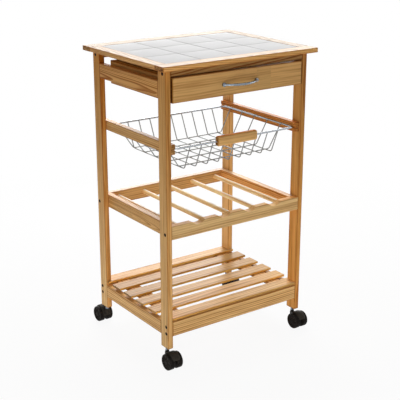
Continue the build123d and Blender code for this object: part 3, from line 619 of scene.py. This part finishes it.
def mesh_piece(name, vertices, faces, material, body, node):
    """A smooth-shaded mesh with its material that rides on a body and stands in for a CAD node, which it hides."""
    mesh = bpy.data.meshes.new(name)
    mesh.from_pydata(vertices, [], faces)
    built = bmesh.new()
    built.from_mesh(mesh)
    bmesh.ops.remove_doubles(built, verts=built.verts, dist=1e-6)
    bmesh.ops.recalc_face_normals(built, faces=built.faces)
    built.to_mesh(mesh)
    built.free()
    mesh.polygons.foreach_set("use_smooth", [True] * len(mesh.polygons))
    mesh.set_sharp_from_angle(angle=math.radians(SHARP_ANGLE))
    mesh.materials.append(material)
    piece = bpy.data.objects.new(name, mesh)
    bpy.context.scene.collection.objects.link(piece)
    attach(piece, body)
    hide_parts(node)


def join_shapes(shapes):
    """Several (vertices, faces) as one."""
    vertices, faces = [], []
    for points, polygons in shapes:
        first = len(vertices)
        vertices.extend(points)
        faces.extend([tuple(first + index for index in polygon) for polygon in polygons])
    return vertices, faces


def grid_faces(rows, columns, closed_columns=False):
    """Quads between neighbouring points of a grid that is listed row by row."""
    wrap = columns if closed_columns else columns - 1
    return [
        (row * columns + column, row * columns + (column + 1) % columns,
         (row + 1) * columns + (column + 1) % columns, (row + 1) * columns + column)
        for row in range(rows - 1)
        for column in range(wrap)
    ]


def grid_rim(rows, columns):
    """The outer points of such a grid, once round."""
    return (list(range(columns))
            + [columns * row + columns - 1 for row in range(1, rows)]
            + [columns * (rows - 1) + column for column in range(columns - 2, -1, -1)]
            + [columns * row for row in range(rows - 2, 0, -1)])


def turned(profile, centre, steps):
    """A profile of (along X, radius) turned about an axle along X through centre."""
    vertices = []
    for across, radius in profile:
        for step in range(steps):
            angle = 2 * math.pi * step / steps
            vertices.append((centre[0] + across, centre[1] + radius * math.cos(angle),
                             centre[2] + radius * math.sin(angle)))
    return vertices, grid_faces(len(profile), steps, closed_columns=True)


def arc(centre, radius, first, last, steps):
    """Points of an arc in degrees, as (along, up)."""
    angles = [math.radians(first + (last - first) * step / steps) for step in range(steps + 1)]
    return [(centre[0] + radius * math.cos(a), centre[1] + radius * math.sin(a)) for a in angles]


# Tiles: their edge and their pitch, how far one may lie below its neighbours, in mm, and where the points
# stand across a rolled edge and how steeply it falls
TILE = 100 * MM
TILE_PITCH = 102 * MM
TILE_SINK = 0.15
EDGE_SHARES = (0, 0.06, 0.16, 0.32, 0.55, 1.0)
EDGE_FALL = 2.2

# Casters: the gap between two wheels, the ribs on a wheel's side, the points about the axle for each rib,
# how many of those stand on it, and the share of the dish's depth by which a rib lies in
WHEEL_GAP = 10 * MM
WHEEL_RIBS = 9
STEPS_PER_RIB = 8
RIB_STEPS = 2
RIB_SINK = 0.3
# The hood's radius about the axle, its arc in degrees from the stem's side, and its wall
HOOD_RADIUS = 24.5 * MM
HOOD_ARC = (-2, 158)
HOOD_WALL = 2 * MM
# Share of the arc after which the hood's tail narrows, and how much narrower it ends
TAIL_START = 0.8
TAIL_NARROWING = 0.25
# Heights of the collar round the stem
COLLAR_FOOT = 26 * MM
COLLAR_SHOULDER = 38 * MM
COLLAR_TOP = 43 * MM


# Operators

def cart():
    """This scene's cart settings."""
    return bpy.context.scene.cart


class CART_OT_timber(bpy.types.Operator):
    """Give every board its own cut of lacquered pine"""
    bl_idname = "cart.timber"
    bl_label = "Boards"

    def execute(self, context):
        wood = cart().timber
        slots = {part["node"]: part["material_slot"] for part in frame["record"]["subparts"]}
        panel = pressed_board(wood.panel)
        for node, slot_name in slots.items():
            if slot_name in ("pine", "hardwood") and node != "basket_handle":
                redder = node in REDDER_BOARDS
                pale, line = (wood.rail_pale, wood.rail_line) if redder else (wood.pale, wood.line)
                dress(node, lacquered_pine(node, pale, line, wood.ring, wood.lacquer, board_look(node)))
            if slot_name == "board":
                dress(node, panel)
        return {"FINISHED"}


class CART_OT_tiles(bpy.types.Operator):
    """Lay the glazed tiles with rolled edges, and colour the grout"""
    bl_idname = "cart.tiles"
    bl_label = "Tiles"

    def execute(self, context):
        settings = cart().tiles
        low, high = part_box("worktop_tiles")
        columns = round((high.x - low.x - TILE) / TILE_PITCH) + 1
        rows = round((high.y - low.y - TILE) / TILE_PITCH) + 1
        dice = random.Random("tiles")
        shapes = []
        for column in range(columns):
            for row in range(rows):
                left, front = low.x + column * TILE_PITCH, low.y + row * TILE_PITCH
                lift = dice.uniform(-TILE_SINK, 0.0) * MM
                shapes.append(self.tile(settings, left, front, low.z, high.z, lift))
        vertices, faces = join_shapes(shapes)
        mesh_piece("glazed_tiles", vertices, faces, glazed_stoneware(settings.glaze), "frame",
                   "worktop_tiles")
        dress("worktop_grout", cement_grout(settings.grout))
        return {"FINISHED"}

    def tile(self, settings, left, front, foot, top, lift):
        """One closed tile, with its points close together where the glaze rolls off."""
        near = [settings.cushion * share for share in EDGE_SHARES]
        stations = near + [TILE / 2] + [TILE - d for d in reversed(near)]

        def height(x, y):
            fall = max((1 - min(d / settings.cushion, 1.0)) ** EDGE_FALL for d in (x, TILE - x, y, TILE - y))
            return top - settings.drop * fall

        vertices = [(left + x, front + y, height(x, y) + lift) for y in stations for x in stations]
        faces = grid_faces(len(stations), len(stations))
        rim = grid_rim(len(stations), len(stations))
        base = len(vertices)
        vertices += [(vertices[i][0], vertices[i][1], foot) for i in rim]
        for k in range(len(rim)):
            following = (k + 1) % len(rim)
            faces.append((rim[k], rim[following], base + following, base + k))
        faces.append(tuple(base + k for k in range(len(rim))))
        return vertices, faces


class CART_OT_metal(bpy.types.Operator):
    """Finish the bolts, the drawer handle and the basket's wires"""
    bl_idname = "cart.metal"
    bl_label = "Metal"

    def execute(self, context):
        metal = cart().metal
        black = plated_metal("blackened_steel", metal.bolt, 0.45, 6, 0.8)
        dress("frame_bolts", black)
        dress("drawer_handle_screws", black)
        dress("drawer_handle", plated_metal("satin_chrome", metal.handle, 0.24, 12, 0.6))
        dress("basket_rim_wire", plated_metal("bright_zinc_rim", metal.rim_wire, 0.22, 15, 0.6))
        wire = plated_metal("bright_zinc_wire", metal.mesh_wire, 0.3, 15, 0.6)
        dress("basket_long_wires", wire)
        dress("basket_cross_wires", wire)
        stem = plated_metal("zinc_plated_stem", metal.stem, 0.3, 4, 0.5)
        for corner in CORNERS:
            dress(f"caster_{corner}_stem", stem)
        return {"FINISHED"}


class CART_OT_grip(bpy.types.Operator):
    """Shape the basket's grip: a bar with rounded edges and ends"""
    bl_idname = "cart.grip"
    bl_label = "Basket grip"

    def execute(self, context):
        wood = cart().timber
        middle, size = box_middle("basket_handle")
        rounding = 5.5 * MM
        least_rounding = 0.5 * MM
        end_rounding = 3.5 * MM
        corner_steps = 6
        end_steps = 5

        def ring(x, inset):
            half_y, half_z = size.y / 2 - inset, size.z / 2 - inset
            r = max(rounding - inset, least_rounding)
            points = []
            for corner, (cy, cz) in enumerate(((1, 1), (-1, 1), (-1, -1), (1, -1))):
                for y, z in arc((cy * (half_y - r), cz * (half_z - r)), r, 90 * corner,
                                90 * corner + 90, corner_steps):
                    points.append((middle.x + x, middle.y + y, middle.z + z))
            return points

        half = size.x / 2
        stations = []
        for step in range(end_steps + 1):
            angle = math.pi / 2 * step / end_steps
            inset = end_rounding * (1 - math.cos(angle))
            stations.append((-half + end_rounding * (1 - math.sin(angle)), inset))
        stations = sorted(stations, key=lambda station: station[0])
        stations = stations + [(-x, inset) for x, inset in reversed(stations)]
        rings = [ring(x, inset) for x, inset in stations]
        count = len(rings[0])
        vertices = [point for points in rings for point in points]
        faces = grid_faces(len(rings), count, closed_columns=True)
        faces.append(tuple(range(count)))
        faces.append(tuple(len(vertices) - count + i for i in range(count)))
        material = lacquered_pine("basket_handle", wood.pale, wood.line, wood.ring, wood.lacquer,
                                  board_look("basket_handle"))
        mesh_piece("grip_bar", vertices, faces, material, "basket", "basket_handle")
        return {"FINISHED"}


class CART_OT_casters(bpy.types.Operator):
    """Mould the four twin-wheel casters"""
    bl_idname = "cart.casters"
    bl_label = "Casters"

    def execute(self, context):
        settings = cart().casters
        wheel_nylon = moulded_nylon("moulded_nylon_wheel", settings.tread, settings.cap)
        hood_nylon = moulded_nylon("moulded_nylon_hood", settings.hood, settings.hood)
        for corner in CORNERS:
            self.wheels(corner, wheel_nylon, settings)
            self.housing(corner, hood_nylon, settings)
        return {"FINISHED"}

    def wheels(self, corner, nylon, settings):
        """Two wheels with a rolled shoulder, a rim, a dished side with ribs and a raised hub cap."""
        node = f"caster_{corner}_wheels"
        axle = Vector(JOINTS[f"spin_{corner}"]["pos_m"])
        low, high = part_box(node)
        radius = (high.z - low.z) / 2
        outer = (high.x - low.x) / 2
        shoulder = settings.shoulder
        inner_edge = 1.2 * MM
        bore = 2.5 * MM
        rim_width = 3 * MM
        hub_foot = 2 * MM
        lip = 0.8 * MM
        cap_ease = 1.4 * MM
        rim = radius - shoulder
        dish_top = rim - rim_width
        dish_foot = settings.hub + hub_foot
        dish = outer - settings.dish
        rib = outer - RIB_SINK * settings.dish
        # Along X and radius of each ring of points, and again where a rib stands
        profile = [(WHEEL_GAP / 2, bore), (WHEEL_GAP / 2, radius - inner_edge)]
        profile += arc((WHEEL_GAP / 2 + inner_edge, radius - inner_edge), inner_edge, 180, 90, 4)
        profile += arc((outer - shoulder, rim), shoulder, 90, 0, 6)
        plain = profile + [(outer, dish_top + lip), (dish, dish_top), (dish, dish_foot)]
        ribbed = profile + [(outer, dish_top + lip), (rib, dish_top), (rib, dish_foot)]
        hub_cap = ([(outer - 0.5 * MM, settings.hub)]
                   + arc((outer - cap_ease, settings.hub - 1.2 * MM), cap_ease, 60, 0, 3)
                   + [(outer - 0.4 * MM, 0.0)])
        steps = WHEEL_RIBS * STEPS_PER_RIB
        shapes = []
        for side in (-1, 1):
            vertices = []
            for (across, reach), (rib_across, _) in zip(plain + hub_cap, ribbed + hub_cap):
                for step in range(steps):
                    angle = 2 * math.pi * step / steps
                    x = rib_across if step % STEPS_PER_RIB < RIB_STEPS else across
                    vertices.append((axle.x + side * x, axle.y + reach * math.cos(angle),
                                     axle.z + reach * math.sin(angle)))
            shapes.append((vertices, grid_faces(len(plain + hub_cap), steps, closed_columns=True)))
        half_pin = WHEEL_GAP / 2 + MM
        shapes.append(turned([(-half_pin, bore), (half_pin, bore)], axle, 24))
        vertices, faces = join_shapes(shapes)
        mesh_piece(f"wheel_pair_{corner}", vertices, faces, nylon, f"wheels_{corner}",
                   node)

    def housing(self, corner, nylon, settings):
        """Web between the wheels, a hood curved over them, and the collar that holds the stem."""
        axle = Vector(JOINTS[f"spin_{corner}"]["pos_m"])
        pivot = Vector(JOINTS[f"swivel_{corner}"]["pos_m"])
        low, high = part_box(f"caster_{corner}_housing")
        trail = 1 if axle.y > pivot.y else -1
        half_width = (high.x - low.x) / 2
        wheel_play = 0.8 * MM
        web = WHEEL_GAP / 2 - wheel_play

        def band(outer, inner, half, crown, columns):
            """A closed curved slab about the axle, from the stem's side over the top to the tail."""
            first, last = HOOD_ARC
            steps = 40
            outside, inside = [], []
            for step in range(steps + 1):
                angle = math.radians(first + (last - first) * step / steps)
                tail = max(0.0, (step / steps - TAIL_START) / (1 - TAIL_START))
                for column in range(columns):
                    share = -1 + 2 * column / (columns - 1)
                    across = share * half * (1 - TAIL_NARROWING * tail ** 2)
                    for rows, r in ((outside, outer - crown * share ** 4), (inside, inner)):
                        rows.append((axle.x + across, axle.y - trail * r * math.cos(angle),
                                     axle.z + r * math.sin(angle)))
            count = len(outside)
            faces = grid_faces(steps + 1, columns)
            faces += [tuple(count + i for i in reversed(face)) for face in grid_faces(steps + 1, columns)]
            edge = grid_rim(steps + 1, columns)
            for k in range(len(edge)):
                following = (k + 1) % len(edge)
                faces.append((edge[k], count + edge[k], count + edge[following], edge[following]))
            return outside + inside, faces

        hub = 9 * MM
        hub_edge = MM
        axle_bore = 2.7 * MM
        # The web reaches 1 mm into the hood and into the hub
        shapes = [band(HOOD_RADIUS, HOOD_RADIUS - HOOD_WALL, half_width, settings.crown, 13),
                  band(HOOD_RADIUS - MM, hub - MM, web, 0.0, 3),
                  turned([(-web, axle_bore), (-web, hub - hub_edge), (-web + hub_edge, hub),
                          (web - hub_edge, hub), (web, hub - hub_edge), (web, axle_bore)], axle, 48)]

        # Collar round the stem, standing in front of the hood, with a narrower neck
        body, neck, bore = 6.2 * MM, 5.1 * MM, 4.7 * MM
        ease = 0.8 * MM
        profile = [(COLLAR_FOOT, 0.0), (COLLAR_FOOT, body - ease), (COLLAR_FOOT + ease, body),
                   (COLLAR_SHOULDER - ease, body), (COLLAR_SHOULDER, neck + ease),
                   (COLLAR_SHOULDER + ease, neck), (COLLAR_TOP - ease / 2, neck),
                   (COLLAR_TOP, neck - ease / 4), (COLLAR_TOP, bore)]
        steps = 32
        vertices = [
            (pivot.x + radius * math.cos(2 * math.pi * s / steps),
             pivot.y + radius * math.sin(2 * math.pi * s / steps), z)
            for z, radius in profile for s in range(steps)
        ]
        shapes.append((vertices, grid_faces(len(profile), steps, closed_columns=True)))
        vertices, faces = join_shapes(shapes)
        mesh_piece(f"caster_hood_{corner}", vertices, faces, nylon, f"caster_{corner}",
                   f"caster_{corner}_housing")


class CART_OT_stage(bpy.types.Operator):
    """Set the pale floor, the soft lamps, the white surround and the camera"""
    bl_idname = "cart.stage"
    bl_label = "Stage"

    def execute(self, context):
        settings = cart().stage
        self.floor(settings)
        self.surround(settings)
        self.lamps(settings)
        self.camera(settings)
        context.scene.view_settings.view_transform = "Standard"
        return {"FINISHED"}

    def floor(self, settings):
        """Painted seamless floor: matt and even. Where the camera sees it, it turns white with the
        distance from the cart and keeps a soft part of the cart's shadow."""
        reach = 15.0
        near, far = 0.5, 1.6
        near_white = 0.93
        mesh = bpy.data.meshes.new("floor")
        mesh.from_pydata([(-reach, -reach, 0), (reach, -reach, 0), (reach, reach, 0), (-reach, reach, 0)],
                         [], [(0, 1, 2, 3)])
        material, tree, output = new_material("seamless_floor")
        place = add(tree, "ShaderNodeTexCoord")
        radius = add(tree, "ShaderNodeVectorMath", {0: place.outputs["Object"]}, operation="LENGTH")
        white = add(tree, "ShaderNodeMapRange", {"Value": radius.outputs["Value"], "From Min": near,
                                                 "From Max": far, "To Min": near_white, "To Max": 1.0})
        share = add(tree, "ShaderNodeMath", {0: seen_or_mirrored(tree), 1: white.outputs[0]},
                    operation="MULTIPLY")
        glow = add(tree, "ShaderNodeEmission", {"Color": (1, 1, 1, 1), "Strength": 1.0})
        matt = add(tree, "ShaderNodeBsdfDiffuse", {"Color": opaque(settings.floor)})
        both = add(tree, "ShaderNodeMixShader", {0: share.outputs[0], 1: matt.outputs[0],
                                                 2: glow.outputs[0]})
        tree.links.new(both.outputs[0], output.inputs["Surface"])
        mesh.materials.append(material)
        floor = bpy.data.objects.new("floor", mesh)
        bpy.context.scene.collection.objects.link(floor)

    def surround(self, settings):
        """White studio all round: white where it is seen or mirrored, and a faint light elsewhere."""
        world = bpy.data.worlds.new("studio")
        bpy.context.scene.world = world
        world.use_nodes = True
        tree = world.node_tree
        tree.nodes.clear()
        strength = add(tree, "ShaderNodeMapRange", {"Value": seen_or_mirrored(tree),
                                                    "To Min": settings.world, "To Max": 1.0})
        sky = add(tree, "ShaderNodeBackground", {"Color": (1, 1, 1, 1), "Strength": strength.outputs[0]})
        output = add(tree, "ShaderNodeOutputWorld")
        tree.links.new(sky.outputs[0], output.inputs["Surface"])

    def lamps(self, settings):
        """Square soft lamps that face the cart. The sheen panel shows in gloss alone."""
        cart_middle = Vector((0, 0, 0.45))
        lamps = (
            ("key_softbox", (-1.5, -2.1, 1.1), 1.6, settings.key_power, True),
            ("floor_bounce", (-0.55, -0.8, 0.03), 0.8, settings.bounce_power, True),
            ("left_softbox", (-2.8, -0.4, 0.7), 1.6, settings.left_power, True),
            ("right_softbox", (2.6, -0.8, 0.7), 1.6, settings.right_power, True),
            ("top_softbox", (0.9, 1.5, 2.6), 2.0, settings.top_power, True),
            ("sheen_panel", (1.65, 2.35, 1.45), 2.6, settings.sheen_power, False),
            ("rear_softbox", (0.6, 1.2, 0.5), 0.7, settings.rear_power, True),
        )
        for name, place, size, power, diffuse in lamps:
            data = bpy.data.lights.new(name, "AREA")
            data.shape = "SQUARE"
            data.size = size
            data.energy = power
            lamp = bpy.data.objects.new(name, data)
            lamp.visible_camera = False
            lamp.visible_diffuse = diffuse
            lamp.location = place
            lamp.rotation_euler = (cart_middle - Vector(place)).to_track_quat("-Z", "Y").to_euler()
            bpy.context.scene.collection.objects.link(lamp)

    def camera(self, settings):
        """The photo's viewpoint, fitted to the worktop's corners and the legs."""
        azimuth = math.radians(-35.27)
        elevation = math.radians(18.525)
        aim = Vector((-0.0101, -0.0169, 0.3713))
        away = Vector((math.sin(azimuth) * math.cos(elevation), -math.cos(azimuth) * math.cos(elevation),
                       math.sin(elevation)))
        data = bpy.data.cameras.new("camera")
        data.lens = settings.lens
        data.sensor_width = 36.0
        camera = bpy.data.objects.new("camera", data)
        camera.location = aim + away * settings.distance
        camera.rotation_euler = (math.pi / 2 - elevation, 0, azimuth)
        bpy.context.scene.collection.objects.link(camera)
        bpy.context.scene.camera = camera


class CartSettings(bpy.types.PropertyGroup):
    """All settings of the cart."""
    timber: PointerProperty(type=CartTimber)
    tiles: PointerProperty(type=CartTiles)
    metal: PointerProperty(type=CartMetal)
    casters: PointerProperty(type=CartCasters)
    stage: PointerProperty(type=CartStage)


STEPS = (CART_OT_timber, CART_OT_tiles, CART_OT_metal, CART_OT_grip, CART_OT_casters, CART_OT_stage)


class CART_PT_cart(bpy.types.Panel):
    """Sidebar panel with each step of the cart"""
    bl_idname = "CART_PT_cart"
    bl_label = "Kitchen Cart"
    bl_space_type = "VIEW_3D"
    bl_region_type = "UI"
    bl_category = "Cart"

    def draw(self, context):
        for step in STEPS:
            self.layout.operator(step.bl_idname)


CLASSES = (CartTimber, CartTiles, CartMetal, CartCasters, CartStage, CartSettings, *STEPS, CART_PT_cart)


def register():
    for item in CLASSES:
        bpy.utils.register_class(item)
    bpy.types.Scene.cart = PointerProperty(type=CartSettings)


def unregister():
    del bpy.types.Scene.cart
    for item in reversed(CLASSES):
        bpy.utils.unregister_class(item)


def main():
    register()
    bpy.ops.cart.timber()
    bpy.ops.cart.tiles()
    bpy.ops.cart.metal()
    bpy.ops.cart.grip()
    bpy.ops.cart.casters()
    bpy.ops.cart.stage()


if __name__ == "__main__":
    main()
